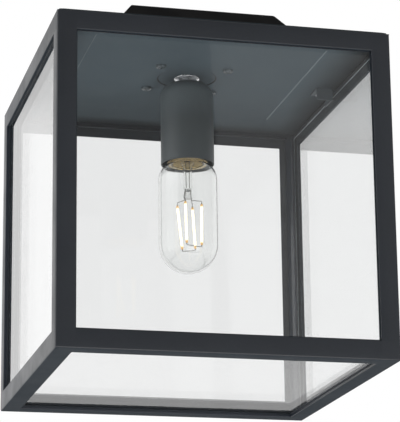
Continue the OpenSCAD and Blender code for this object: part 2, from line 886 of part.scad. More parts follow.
canopy();
ceiling_gasket();
cable_grommet();
roof_pillars();
terminal_block();
terminal_screws();
block_screw();
earth_stud();
supply_lead(-1, -1, "saddlebrown");  // live_lead
supply_lead(0, 1, "steelblue");  // neutral_lead
earth_lead();
roof_plate();
roof_screws();
left_clip();
right_clip();
clip_rivets();
nipple();
nipple_nuts();
roof_washer();
holder_sleeve();
holder_cap();
holder_insert();
screw_shell();
centre_contact();
holder_terminals();
holder_screws();
bulb_contact();
bulb_insulator();
bulb_cap();
bulb_envelope();
bulb_stem();
led_filaments();
filament_wires();
corner_post(0);  // post_front_left
corner_post(1);  // post_front_right
corner_post(2);  // post_back_right
corner_post(3);  // post_back_left
top_rail(0);  // top_rail_front
top_rail(1);  // top_rail_right
top_rail(2);  // top_rail_back
top_rail(3);  // top_rail_left
bottom_rail(0);  // bottom_rail_front
bottom_rail(1);  // bottom_rail_right
bottom_rail(2);  // bottom_rail_back
bottom_rail(3);  // bottom_rail_left
side_pane(0);  // pane_front
side_pane(1);  // pane_right
side_pane(2);  // pane_back
side_pane(3);  // pane_left
floor_pane();  // pane_bottom
side_seal(0);  // seal_front
side_seal(1);  // seal_right
side_seal(2);  // seal_back
side_seal(3);  // seal_left
floor_seal();  // seal_bottom
corner_bead(0);  // bead_front_left
corner_bead(1);  // bead_front_right
corner_bead(2);  // bead_back_right
corner_bead(3);  // bead_back_left
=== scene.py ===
"""Looks of a square porch ceiling lantern, in metres in the part's own frame."""
import math

import bmesh
import bpy
from mathutils import Matrix, Vector

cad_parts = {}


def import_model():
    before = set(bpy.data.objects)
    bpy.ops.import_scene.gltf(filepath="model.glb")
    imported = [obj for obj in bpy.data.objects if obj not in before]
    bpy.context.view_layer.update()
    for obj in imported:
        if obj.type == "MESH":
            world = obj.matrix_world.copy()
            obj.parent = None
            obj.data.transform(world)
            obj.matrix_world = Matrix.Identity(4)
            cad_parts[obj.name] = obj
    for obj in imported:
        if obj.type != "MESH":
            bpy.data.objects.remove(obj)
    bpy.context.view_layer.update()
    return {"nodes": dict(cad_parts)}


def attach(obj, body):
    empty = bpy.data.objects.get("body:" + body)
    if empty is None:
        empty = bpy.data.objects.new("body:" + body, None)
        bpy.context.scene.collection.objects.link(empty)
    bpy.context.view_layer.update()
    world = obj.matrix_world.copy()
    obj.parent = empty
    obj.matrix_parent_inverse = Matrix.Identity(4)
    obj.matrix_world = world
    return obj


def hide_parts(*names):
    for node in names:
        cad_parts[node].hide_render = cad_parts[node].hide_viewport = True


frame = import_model()
scene = bpy.context.scene
scene.view_settings.view_transform = "Standard"
scene.cycles.transparent_max_bounces = 32
scene.cycles.max_bounces = 16
scene.cycles.transmission_bounces = 14
MM = 0.001
SHARP_ANGLE = 32.0  # degrees, above which an edge stays sharp

# ------------------------------------------------------------------ sizes, in mm
HALF = 122.5  # outer face of the cage
BAR = 14.0  # posts and bottom rails, as seen from outside
TOP_BAR = 13.5
LEG = 2.0
EDGE = 1.2  # rounding of the cage's outer edges
WINDOW_SOFT = 0.3
TOP_SOFT = 0.5
RAIL_SOFT = 0.45
GLASS_SOFT = 0.4
NEAR = 1e-4
Z_BASE = -278.0
Z_RAIL = -35.7
Z_PAN = -38.0
SHEET = 1.2
WINDOW = HALF - BAR
LEG_IN = HALF - LEG
SEAL = 0.8
GLASS = 3.0
PANE_OUT = LEG_IN - SEAL
PANE_IN = PANE_OUT - GLASS
PANE_GAP = 0.3
BEAD = 5.0
Z_PANE_LOW = Z_BASE + LEG + SEAL + GLASS
Z_PANE_TOP = Z_PAN - 3.8
Z_PANEL = -37.2  # underside of the raised panel
Z_RING = -36.7  # underside of the pressed ring
SLEEVE_R = 20.25
SLEEVE_TOP = -42.2
SLEEVE_LOW = -106.5
SLEEVE_T = 1.0
Z_TIP = -78.1
CAP_R = 13.0
CAP_LOW = -105.1
BULB_R = 22.5
BULB_LOW = -191.4
SHOULDER_R = 14.0
PITCH = 3.629  # of the E27 thread
SHELL_LOW = -99.3
SHELL_TOP = -76.8
SIDES = ("front", "right", "back", "left")
CORNERS = ("front_left", "front_right", "back_right", "back_left")


# ------------------------------------------------------------------ node helpers
def srgb(r, g, b):
    """Linear colour of an sRGB colour given from 0 to 255."""
    def lin(c):
        c /= 255
        return c / 12.92 if c <= 0.04045 else ((c + 0.055) / 1.055) ** 2.4
    return (lin(r), lin(g), lin(b), 1.0)


class Nodes:
    """A short way to write a node tree."""

    def __init__(self, tree):
        self.tree = tree

    def add(self, kind, inputs=(), **settings):
        node = self.tree.nodes.new(kind)
        for key, value in settings.items():
            setattr(node, key, value)
        for key, value in dict(inputs).items():
            if isinstance(value, bpy.types.NodeSocket):
                self.tree.links.new(value, node.inputs[key])
            else:
                node.inputs[key].default_value = value
        return node

    def math(self, operation, a, b=0.0, clamp=False):
        return self.add("ShaderNodeMath", {0: a, 1: b}, operation=operation, use_clamp=clamp).outputs[0]

    def noise(self, coords, scale, detail=3.0, rough=0.55, stretch=(1, 1, 1)):
        if stretch != (1, 1, 1):
            coords = self.add("ShaderNodeMapping", {"Vector": coords, "Scale": stretch}).outputs[0]
        inputs = {"Vector": coords, "Scale": scale, "Detail": detail, "Roughness": rough}
        return self.add("ShaderNodeTexNoise", inputs).outputs["Fac"]

    def ramp(self, value, low, high, out_low=0.0, out_high=1.0, smooth=True):
        inputs = {"Value": value, "From Min": low, "From Max": high, "To Min": out_low, "To Max": out_high}
        kind = "SMOOTHSTEP" if smooth else "LINEAR"
        return self.add("ShaderNodeMapRange", inputs, interpolation_type=kind).outputs[0]

    def blend(self, fac, a, b, mode="MIX"):
        node = self.add("ShaderNodeMix", data_type="RGBA", blend_type=mode)
        for key, value in (("Factor", fac), ("A", a), ("B", b)):
            socket = next(s for s in node.inputs if s.name == key and (key == "Factor" or s.type == "RGBA"))
            if isinstance(value, bpy.types.NodeSocket):
                self.tree.links.new(value, socket)
            else:
                socket.default_value = value
        return next(s for s in node.outputs if s.type == "RGBA")

    def split(self, vector):
        """The three parts of a vector, by their letter."""
        return self.add("ShaderNodeSeparateXYZ", {0: vector}).outputs

    def bump(self, height, distance):
        inputs = {"Height": height, "Distance": distance, "Strength": 1.0}
        return self.add("ShaderNodeBump", inputs).outputs[0]


def new_material(name):
    mat = bpy.data.materials.new(name)
    mat.use_nodes = True
    mat.node_tree.nodes.clear()
    n = Nodes(mat.node_tree)
    n.out = n.add("ShaderNodeOutputMaterial")
    n.coords = n.add("ShaderNodeTexCoord").outputs["Object"]
    return mat, n


def finish_material(n, inputs):
    shader = n.add("ShaderNodeBsdfPrincipled", inputs)
    n.tree.links.new(shader.outputs[0], n.out.inputs["Surface"])
    return shader


EDGE_BAND = 0.036  # metres
EDGE_SHADE = 0.8
BACK_SHADE = 0.42
PAINTED_SHADE_COLOUR = (0.004, 0.005, 0.006, 1)


def coat(name, base, rough=0.5, grain=900.0, depth=0.00006, tint=0.10, specular=0.5, edge=0.0, painted_light_ramp=None):
    """Powder coat or paint: fine grain, faint cloudy colour and uneven gloss; where asked, painted shade
    near a sheet's edge and a painted ramp of light and shade along one axis.
    """
    mat, n = new_material(name)
    fine = n.noise(n.coords, grain, 4.0)
    cloud = n.noise(n.coords, 14.0, 3.0)
    shade = n.ramp(n.math("ADD", n.math("MULTIPLY", fine, 0.6), n.math("MULTIPLY", cloud, 0.4)), 0.3, 0.7)
    dark = tuple(c * (1 - tint) for c in base[:3]) + (1.0,)
    light = tuple(c * (1 + tint) for c in base[:3]) + (1.0,)
    colour = n.blend(shade, dark, light)
    gloss = n.ramp(n.noise(n.coords, 35.0, 4.0), 0.3, 0.7, rough - 0.05, rough + 0.05)
    normal = n.bump(fine, depth)
    if edge:
        # Painted shade: the coat darkens near a square sheet's edge, and more so at its back
        parts = n.split(n.coords)
        across, along = (n.math("ABSOLUTE", parts[k]) for k in "XY")
        near = n.ramp(n.math("MAXIMUM", across, along), edge - EDGE_BAND, edge, 0.0, EDGE_SHADE)
        back = n.ramp(parts["Y"], 0.0, edge, 0.0, BACK_SHADE)
        near = n.math("MAXIMUM", near, back)
        colour = n.blend(near, colour, PAINTED_SHADE_COLOUR)
    if painted_light_ramp:
        # Painted light and shade: the coat grows lighter or darker evenly along one axis, from one place to
        # another
        axis, low, high, first, last = painted_light_ramp
        share = n.ramp(n.split(n.coords)[axis], low, high)
        colour = n.blend(1.0, colour, n.blend(share, (*first, 1), (*last, 1)), "MULTIPLY")
    finish_material(n, {
        "Base Color": colour, "Roughness": gloss, "Normal": normal, "Specular IOR Level": specular,
    })
    return mat


def metal(name, base, rough=0.25, scratch=(60.0, 60.0, 900.0), tint=0.12, depth=0.00001):
    """Bare or plated metal with fine marks and a faint stain."""
    mat, n = new_material(name)
    marks = n.noise(n.coords, 1.0, 5.0, stretch=scratch)
    stain = n.noise(n.coords, 130.0, 4.0)
    dark = tuple(c * (1 - tint) for c in base[:3]) + (1.0,)
    colour = n.blend(n.ramp(stain, 0.35, 0.7), base, dark)
    gloss = n.ramp(marks, 0.3, 0.7, rough * 0.7, rough * 1.4)
    finish_material(n, {
        "Base Color": colour, "Metallic": 1.0, "Roughness": gloss, "Normal": n.bump(marks, depth),
    })
    return mat


def moulded(name, base, rough=0.45, grain=1500.0, depth=0.00002, tint=0.08):
    """Moulded resin, rubber or insulation."""
    mat, n = new_material(name)
    fine = n.noise(n.coords, grain, 3.0)
    cloud = n.noise(n.coords, 60.0, 3.0)
    dark = tuple(c * (1 - tint) for c in base[:3]) + (1.0,)
    colour = n.blend(n.ramp(cloud, 0.3, 0.7), base, dark)
    gloss = n.ramp(cloud, 0.3, 0.7, rough - 0.05, rough + 0.07)
    finish_material(n, {"Base Color": colour, "Roughness": gloss, "Normal": n.bump(fine, depth)})
    return mat


CLEAR = (0.975, 0.977, 0.977, 1)
GLASS_SMEAR = 0.004
HEAD_ON = 0.04  # share that a face of glass reflects head on


def pane_material(name, tint, falloff):
    """Clear flat glass: light goes straight through and each face reflects by the angle."""
    mat, n = new_material(name)
    facing = n.add("ShaderNodeLayerWeight", {"Blend": 0.5}).outputs["Facing"]
    grazing = n.math("MULTIPLY", n.math("POWER", facing, falloff), 1 - HEAD_ON)
    fresnel = n.math("ADD", grazing, HEAD_ON)
    film = n.ramp(n.noise(n.coords, 9.0, 4.0, 0.6), 0.45, 0.8, 0.0, GLASS_SMEAR)
    share = n.math("ADD", fresnel, n.math("MULTIPLY", film, 0.2), clamp=True)
    clear = n.add("ShaderNodeBsdfTransparent", {"Color": tint})
    gloss = n.add("ShaderNodeBsdfGlossy", {"Color": (1, 1, 1, 1), "Roughness": 0.02})
    mix = n.add("ShaderNodeMixShader", {0: share, 1: clear.outputs[0], 2: gloss.outputs[0]})
    n.tree.links.new(mix.outputs[0], n.out.inputs["Surface"])
    return mat


def bulb_material(name, base, ior):
    """Blown glass that bends what is behind it, with a faint ripple."""
    mat, n = new_material(name)
    ripple = n.noise(n.coords, 45.0, 2.0)
    finish_material(n, {
        "Base Color": base, "Roughness": 0.0, "IOR": ior, "Transmission Weight": 1.0,
        "Normal": n.bump(ripple, 0.00002),
    })
    return mat


def glow_material(name):
    """Lit phosphor: warm white in the middle and amber at both ends."""
    mat, n = new_material(name)
    z = n.split(n.coords)["Z"]
    middle = (STICK_TOP + STICK_LOW) / 2 * MM
    away = n.math("ABSOLUTE", n.math("SUBTRACT", z, middle))
    end = n.ramp(away, 0.0134, 0.0154)
    grain = n.noise(n.coords, 1400.0, 2.0)
    warm = n.blend(n.ramp(grain, 0.3, 0.7), (1.0, 0.86, 0.62, 1), (1.0, 0.92, 0.74, 1))
    colour = n.blend(end, warm, (0.9, 0.46, 0.10, 1))
    power = n.ramp(end, 0.0, 1.0, 2.0, 0.55, smooth=False)
    path = n.add("ShaderNodeLightPath")
    bounces = n.math("ADD", path.outputs["Glossy Depth"], path.outputs["Diffuse Depth"])
    power = n.math("MULTIPLY", power, n.ramp(bounces, 0.0, 1.0, 1.0, 0.12, smooth=False))
    finish_material(n, {
        "Base Color": (0.8, 0.6, 0.3, 1), "Roughness": 0.5,
        "Emission Color": colour, "Emission Strength": power,
    })
    return mat


def cement_material(name):
    """Golden cement with radial streaks, with a painted glow that stands for the filaments' light on it."""
    mat, n = new_material(name)
    parts = n.split(n.coords)
    around = n.math("MULTIPLY", n.math("ARCTAN2", parts["Y"], parts["X"]), 14.0)
    inputs = {"W": around, "Detail": 3.0}
    streak = n.add("ShaderNodeTexNoise", inputs, noise_dimensions="1D").outputs["Fac"]
    shade = n.ramp(streak, 0.35, 0.65)
    colour = n.blend(shade, srgb(142, 122, 84), srgb(196, 176, 134))
    # Painted light: the cement glows a little in its own colour
    finish_material(n, {
        "Base Color": colour, "Roughness": 0.5, "Normal": n.bump(streak, 0.00008),
        "Emission Color": colour, "Emission Strength": 0.28,
    })
    return mat


# ------------------------------------------------------------------ mesh helpers
def turned(point, side):
    """A front point in mm carried to one of the four sides."""
    x, y, z = point
    for _ in range(side % 4):
        x, y = -y, x
    return x, y, z


def loose(name, bm):
    """Makes a plain object of a bmesh in mm."""
    bmesh.ops.recalc_face_normals(bm, faces=bm.faces)
    bmesh.ops.scale(bm, vec=(MM, MM, MM), verts=bm.verts)
    mesh = bpy.data.meshes.new(name)
    bm.to_mesh(mesh)
    bm.free()
    obj = bpy.data.objects.new(name, mesh)
    scene.collection.objects.link(obj)
    return obj


def piece(name, bm, mats, body, replaces=(), smooth=SHARP_ANGLE):
    """Makes an object of a bmesh in mm, and says what it rides on and stands for."""
    bmesh.ops.remove_doubles(bm, verts=bm.verts, dist=1e-5)
    obj = loose(name, bm)
    for mat in mats:
        obj.data.materials.append(mat)
    obj.data.shade_smooth()
    obj.data.set_sharp_from_angle(angle=math.radians(smooth))
    if replaces:
        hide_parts(*replaces)
    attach(obj, body)
    return obj


def skin(bm, rows, closed=False):
    """Joins rows of vertices that each run round, the last to the first if closed."""
    pairs = list(zip(rows, rows[1:]))
    if closed:
        pairs.append((rows[-1], rows[0]))
    faces = []
    for a, b in pairs:
        for i in range(len(a)):
            j = (i + 1) % len(a)
            faces.append(bm.faces.new((a[i], a[j], b[j], b[i])))
    return faces


def prism(bm, rings):
    """Joins closed rings of the same number of points, and caps both ends."""
    rows = [[bm.verts.new(p) for p in ring] for ring in rings]
    skin(bm, rows)
    bm.faces.new(reversed(rows[0]))
    bm.faces.new(rows[-1])
    return rows


def box(bm, low, high):
    """A box between two corners."""
    (x0, y0, z0), (x1, y1, z1) = low, high
    ring = [(x0, y0), (x1, y0), (x1, y1), (x0, y1)]
    return prism(bm, [[(x, y, z) for x, y in ring] for z in (z0, z1)])


def bevel_edges(bm, edges, radius, steps):
    """Rounds the given edges."""
    bmesh.ops.bevel(
        bm, geom=edges, offset=radius, segments=steps, profile=0.5, affect="EDGES", clamp_overlap=True,
    )


def bevel(bm, pairs, radius, steps):
    """Rounds the edges between the given pairs of vertices."""
    edges = [bm.edges.get(pair) for pair in pairs]
    bevel_edges(bm, [edge for edge in edges if edge], radius, steps)


def common_box(p, q):
    """The low and the high corner of the box that two points span."""
    return [min(u, v) for u, v in zip(p, q)], [max(u, v) for u, v in zip(p, q)]


def arc(cx, cz, r, start, end, steps=8):
    """Points of an arc in a section, with angles in degrees."""
    points = []
    for i in range(steps + 1):
        a = math.radians(start + (end - start) * i / steps)
        points.append((cx + r * math.cos(a), cz + r * math.sin(a)))
    return points


def lathe(bm, section, steps=96, centre=(0.0, 0.0), closed=True):
    """Turns a section of (radius, height) points round the vertical axis."""
    rows = []
    for r, z in section:
        row = []
        for i in range(steps):
            a = 2 * math.pi * i / steps
            row.append(bm.verts.new((centre[0] + r * math.cos(a), centre[1] + r * math.sin(a), z)))
        rows.append(row)
    skin(bm, rows, closed)


def plan_angles(steps=18, near=7, spread=3.0):
    """Angles round a square, close together at its corners."""
    angles = set()
    for quarter in range(4):
        for i in range(steps):
            angles.add(round(90 * quarter + 90 * i / steps, 4))
        for i in range(near):
            angles.add(round(90 * quarter + 45 - spread + 2 * spread * i / (near - 1), 4))
    return [math.radians(a) for a in sorted(angles)]


def round_square(half, r, z, angles):
    """A square loop with rounded corners, or a circle where r is half."""
    loop = []
    for a in angles:
        dx, dy = abs(math.cos(a)), abs(math.sin(a))
        reach = half / max(dx, dy)
        c = half - r
        if min(dx, dy) * reach > c and r > 0:
            along = dx * c + dy * c
            reach = along + math.sqrt(max(r * r - (2 * c * c - along * along), 0.0))
        loop.append((reach * math.cos(a), reach * math.sin(a), z))
    return loop


def square_shell(bm, section, angles):
    """Joins square loops, each given as (half width, corner radius, height)."""
    rows = [[bm.verts.new(p) for p in round_square(h, r, z, angles)] for h, r, z in section]
    skin(bm, rows, closed=True)
    return rows


def tube(bm, path, radius, steps=12, taper=None):
    """A round wire along points, with closed ends."""
    points = [Vector(p) for p in path]
    side = None
    rings = []
    for i, p in enumerate(points):
        before = points[max(i - 1, 0)]
        after = points[min(i + 1, len(points) - 1)]
        t = (after - before).normalized()
        if side is None:
            side = t.orthogonal().normalized()
        side = (side - t * side.dot(t)).normalized()
        other = t.cross(side)
        r = radius * (taper[i] if taper else 1.0)
        turns = [2 * math.pi * k / steps for k in range(steps)]
        rings.append([tuple(p + (side * math.cos(a) + other * math.sin(a)) * r) for a in turns])
    prism(bm, rings)


def cut(obj, cutters):
    """Cuts meshes out of an object and removes them."""
    for cutter in cutters:
        mod = obj.modifiers.new("cut", "BOOLEAN")
        mod.operation = "DIFFERENCE"
        mod.solver = "EXACT"
        mod.object = cutter
    deps = bpy.context.evaluated_depsgraph_get()
    mesh = bpy.data.meshes.new_from_object(obj.evaluated_get(deps))
    obj.modifiers.clear()
    old = obj.data
    obj.data = mesh
    mesh.name = old.name
    bpy.data.meshes.remove(old)
    for cutter in cutters:
        bpy.data.objects.remove(cutter)
    mesh.shade_smooth()
    mesh.set_sharp_from_angle(angle=math.radians(SHARP_ANGLE))


def matte_below(bm):
    """Gives the faces that look down the second material."""
    bmesh.ops.recalc_face_normals(bm, faces=bm.faces)
    bm.normal_update()
    for f in bm.faces:
        f.material_index = 1 if f.normal.z < -0.8 else 0


def dress(node, mat, bevel_mm=0.0):
    """Gives a CAD node its material, and softens its edges with modifiers."""
    obj = frame["nodes"][node]
    for i in range(max(len(obj.material_slots), 1)):
        if not obj.material_slots:
            obj.data.materials.append(mat)
        obj.material_slots[i].link = "OBJECT"
        obj.material_slots[i].material = mat
    if bevel_mm:
        weld = obj.modifiers.new("weld", "WELD")
        weld.merge_threshold = 1e-6
        soft = obj.modifiers.new("soft", "BEVEL")
        soft.width = bevel_mm * MM
        soft.segments = 3
        soft.limit_method = "ANGLE"
        soft.angle_limit = math.radians(40)
        soft.harden_normals = False


# ------------------------------------------------------------------ bulb sizes
PINCH_LOW = CAP_LOW - 28.3  # lower end of the stem
STICK_TOP = PINCH_LOW - 3.6
STICK_LOW = STICK_TOP - 33.9
STICK_TOPS = ((-7.2, 5.0), (-4.1, -8.5), (5.2, 7.5), (9.9, -3.0))
STICK_LOWS = ((-2.3, 10.0), (-3.6, -10.0), (6.9, 6.0), (9.0, -5.5))
NECK_R = CAP_R - 0.35 - 0.05
GLASS_T = 0.8
STICK_R = 0.9
WIRE_R = 0.24
LEAD_IN_R = 0.26

# ------------------------------------------------------------------ materials
# Painted shade: the cage's coat grows darker and bluer towards the back
frame_coat = coat("frame_coat", srgb(32, 36, 42), rough=0.38, grain=1300.0, depth=0.00006, tint=0.16,
                  painted_light_ramp=("Y", -0.1, 0.12, (1.0, 1.0, 1.0), (0.76, 0.9, 1.09)))
# Painted light: the cage's downward faces get a lighter, duller copy of its coat, coloured for how they are
# lit
underside_lit_coat = coat("underside_lit_coat", srgb(54, 60, 66), rough=0.8, grain=1300.0, depth=0.00004, tint=0.16,
                 specular=0.12)
canopy_coat = coat("canopy_coat", srgb(4, 4, 5), rough=0.6, grain=1100.0, depth=0.00005, tint=0.1,
                   specular=0.08)
# Painted shade: the tray's coat darkens near its edge, and more so at its back
roof_coat = coat("roof_coat", srgb(82, 95, 102), rough=0.75, grain=300.0, depth=0.00001, tint=0.03,
                 specular=0.15, edge=0.1205)
# Painted highlight: a lighter coat on the panel's side creases stands for the bright line they catch
crease_highlight_coat = coat("crease_highlight_coat", srgb(118, 131, 136), rough=0.6, grain=1400.0, depth=0.00003, tint=0.12)
# Painted shadow: a dark coat on the ring's step stands for the shade in its groove
ring_shadow_coat = coat("ring_shadow_coat", srgb(30, 34, 37), rough=0.6, grain=700.0, depth=0.00001, tint=0.1,
                 specular=0.2)
# Painted light and shade: the sleeve's coat is darker low down and lighter towards its shoulder
sleeve_coat = coat("sleeve_coat", srgb(73, 81, 84), rough=0.42, grain=1400.0, depth=0.00002, tint=0.06,
                   specular=0.3, painted_light_ramp=("Z", -0.078, -0.054, (0.72, 0.72, 0.72), (1.34, 1.34, 1.34)))
screw_coat = coat("screw_coat", srgb(74, 84, 88), rough=0.25, grain=700.0, depth=0.00001, tint=0.08,
                  specular=0.6)
clip_steel = coat("clip_steel", srgb(66, 75, 81), rough=0.45, grain=250.0, depth=0.00001, tint=0.04,
                  specular=0.3)
foam = moulded("foam", srgb(28, 28, 29), rough=0.9, grain=900.0, depth=0.0002)
bush_rubber = moulded("bush_rubber", srgb(22, 22, 23), rough=0.6)
seal_rubber = moulded("seal_rubber", srgb(19, 28, 37), rough=0.6)
bead_rubber = moulded("bead_rubber", srgb(12, 24, 36), rough=0.2, depth=0.000005)
zinc = metal("zinc_steel", srgb(185, 187, 190), rough=0.3)
bright = metal("washer_bright", srgb(246, 247, 248), rough=0.22, scratch=(300, 300, 300), tint=0.25)
brass = metal("brass_plain", srgb(205, 172, 105), rough=0.25)
holder_resin = moulded("holder_resin", srgb(24, 24, 25), rough=0.5)
block_resin = moulded("block_resin", srgb(238, 236, 228), rough=0.4)
lead_brown = moulded("lead_brown", srgb(96, 58, 38), rough=0.4)
lead_blue = moulded("lead_blue", srgb(50, 90, 160), rough=0.4)
contact_metal = metal("bulb_contact_metal", srgb(190, 188, 182), rough=0.3)
bulb_glaze = moulded("bulb_glaze", srgb(14, 14, 16), rough=0.12, depth=0.000005)
cap_metal = metal("bulb_cap_metal", srgb(222, 198, 146), rough=0.22, scratch=(80, 80, 700))
side_glass = pane_material("pane_glass_side", CLEAR, falloff=3.5)
floor_glass = pane_material("pane_glass_floor", CLEAR, falloff=6.9)
bulb_glass = bulb_material("bulb_glass", (0.99, 0.995, 0.99, 1), ior=1.47)
stem_glass = bulb_material("stem_glass", (0.98, 0.985, 0.98, 1), ior=1.25)
phosphor = glow_material("stick_phosphor")
wire_metal = metal("wire_metal", srgb(150, 146, 140), rough=0.35)


def striped_lead(name):
    """Green insulation with yellow stripes."""
    mat, n = new_material(name)
    parts = n.split(n.coords)
    around = n.math("ADD", parts["X"], n.math("MULTIPLY", parts["Y"], 0.6))
    band = n.math("SINE", n.math("MULTIPLY", around, 2600.0))
    colour = n.blend(n.ramp(band, -0.1, 0.1), srgb(72, 140, 50), srgb(220, 200, 60))
    normal = n.bump(n.noise(n.coords, 1500.0), 0.00001)
    finish_material(n, {"Base Color": colour, "Roughness": 0.4, "Normal": normal})
    return mat


def edge_glass(name, light, dark):
    """The ground edge of float glass, with fine streaks."""
    mat, n = new_material(name)
    streak = n.noise(n.coords, 1.0, 4.0, stretch=(40, 40, 900))
    colour = n.blend(n.ramp(streak, 0.3, 0.7), light, dark)
    finish_material(n, {"Base Color": colour, "Roughness": 0.3, "Normal": n.bump(streak, 0.00004)})
    return mat


lead_green = striped_lead("lead_green")
pane_edge = edge_glass("pane_edge", srgb(28, 40, 50), srgb(20, 29, 37))
cap_cement = cement_material("cap_cement")
# Painted highlight: near-white arrises stand for the bright lines that the left and right panes catch
pane_arris_highlight = edge_glass("pane_arris_highlight", srgb(214, 224, 228), srgb(176, 190, 194))

# ------------------------------------------------------------------ cage frame


def cage_bar(kind, name, bm):
    """Makes a coated bar of the cage whose downward faces get a duller, lighter copy of the coat, a painted
    light.
    """
    matte_below(bm)
    node = "%s_%s" % (kind, name)
    piece(node + "_coated", bm, [frame_coat, underside_lit_coat], "cage", [node])


def swept_bar(bm, section, z, side):
    """Sweeps a section of (depth, height) points from post to post on one side."""
    ends = (-WINDOW, WINDOW)
    return prism(bm, [[turned((x, -HALF + u, z + v), side) for u, v in section] for x in ends])


def on_level(vertex):
    """Whether a vertex of the cage lies on its lowest plane."""
    return abs(vertex.co.z - Z_BASE) < NEAR


def post(side):
    """An angle section whose window edges, top and outer edges are rounded."""
    a, b, c = -HALF, -HALF + BAR, -HALF + LEG
    plan = [(a, a), (b, a), (b, c), (c, c), (c, b), (a, b)]
    sill, head = Z_BASE + BAR, Z_RAIL - TOP_BAR
    heights = (Z_BASE, sill - WINDOW_SOFT, sill, head, head + WINDOW_SOFT, Z_RAIL)
    bm = bmesh.new()
    rows = prism(bm, [[turned((x, y, z), side) for x, y in plan] for z in heights])
    top = rows[-1]
    windows = [(rows[2][k], rows[3][k]) for k in (1, 5)]
    bevel(bm, windows, WINDOW_SOFT, 3)
    bevel(bm, [(top[0], top[1]), (top[5], top[0])], TOP_SOFT, 3)
    corner = Vector(turned((a, a, 0), side))
    edges = []
    for e in bm.edges:
        outer = [all(abs(v.co[k] - corner[k]) < NEAR for v in e.verts) for k in (0, 1)]
        if all(outer) or (any(outer) and all(on_level(v) for v in e.verts)):
            edges.append(e)
    bevel_edges(bm, edges, EDGE, 5)
    cage_bar("post", CORNERS[side], bm)


def bottom_rail(side):
    """An angle section; the front and back ones also fill the corners under the posts."""
    section = [(0, 0), (BAR, 0), (BAR, LEG), (LEG, LEG), (LEG, BAR), (0, BAR)]
    bm = bmesh.new()
    rows = swept_bar(bm, section, Z_BASE, side)
    bevel(bm, [(rows[0][1], rows[1][1]), (rows[0][5], rows[1][5])], RAIL_SOFT, 3)
    edges = []
    for e in bm.edges:
        in_front = all(abs(turned(v.co, -side % 4)[1] + HALF) < NEAR for v in e.verts)
        if in_front and all(on_level(v) for v in e.verts):
            edges.append(e)
    bevel_edges(bm, edges, EDGE, 5)
    if side % 2 == 0:
        for x0, x1 in ((-LEG_IN, -WINDOW), (WINDOW, LEG_IN)):
            p = turned((x0, -LEG_IN, Z_BASE), side)
            q = turned((x1, -WINDOW, Z_BASE + LEG), side)
            box(bm, *common_box(p, q))
    cage_bar("bottom_rail", SIDES[side], bm)


def top_rail(side):
    """A flat bar under the roof plate's rim."""
    section = [(0, -TOP_BAR), (LEG, -TOP_BAR), (LEG, 0), (0, 0)]
    bm = bmesh.new()
    rows = swept_bar(bm, section, Z_RAIL, side)
    bevel(bm, [(rows[0][0], rows[1][0]), (rows[0][3], rows[1][3])], TOP_SOFT, 3)
    cage_bar("top_rail", SIDES[side], bm)


def pane(name, low, high, glass, arris):
    """A glass plate whose broad faces are clear and whose ground edges are duller."""
    bm = bmesh.new()
    box(bm, low, high)
    thin = min(range(3), key=lambda k: high[k] - low[k])
    bevel_edges(bm, list(bm.edges), GLASS_SOFT, 1)
    bm.normal_update()
    for f in bm.faces:
        lean = abs(f.normal[thin])
        f.material_index = 0 if lean > 0.99 else 1 if lean < 0.1 else 2
    mats = [glass, pane_edge, arris]
    piece("pane_%s_clear" % name, bm, mats, "cage", ["pane_" + name], 20)


def bead(side):
    """A coved bead run into the corner between two panes."""
    name = CORNERS[side]
    a, w = -PANE_IN, BEAD
    turns = [math.pi / 2 * k / 8 for k in range(9)]
    cove = [(a + w - w * math.sin(t), a + w - w * math.cos(t)) for t in turns]
    plan = [(a, a)] + cove[::-1]
    bm = bmesh.new()
    prism(bm, [[turned((x, y, z), side) for x, y in plan] for z in (Z_PANE_LOW, Z_PANE_TOP)])
    piece("bead_%s_coved" % name, bm, [bead_rubber], "cage", ["bead_" + name])


for side in range(4):
    post(side)
    bottom_rail(side)
    top_rail(side)
    dress("seal_" + SIDES[side], seal_rubber)
    bead(side)
    half = PANE_OUT - PANE_GAP if side % 2 == 0 else PANE_IN - PANE_GAP
    p = turned((-half, -PANE_OUT, Z_PANE_LOW), side)
    q = turned((half, -PANE_IN, Z_PANE_TOP), side)
    # Painted highlight: only the left and right panes get the near-white arrises
    pane(SIDES[side], *common_box(p, q), side_glass, pane_arris_highlight if side % 2 else pane_edge)
half = PANE_OUT - PANE_GAP
pane("bottom", [-half, -half, Z_PANE_LOW - GLASS], [half, half, Z_PANE_LOW], floor_glass, pane_edge)
dress("seal_bottom", seal_rubber)

# ------------------------------------------------------------------ roof plate and canopy
angles = plan_angles()


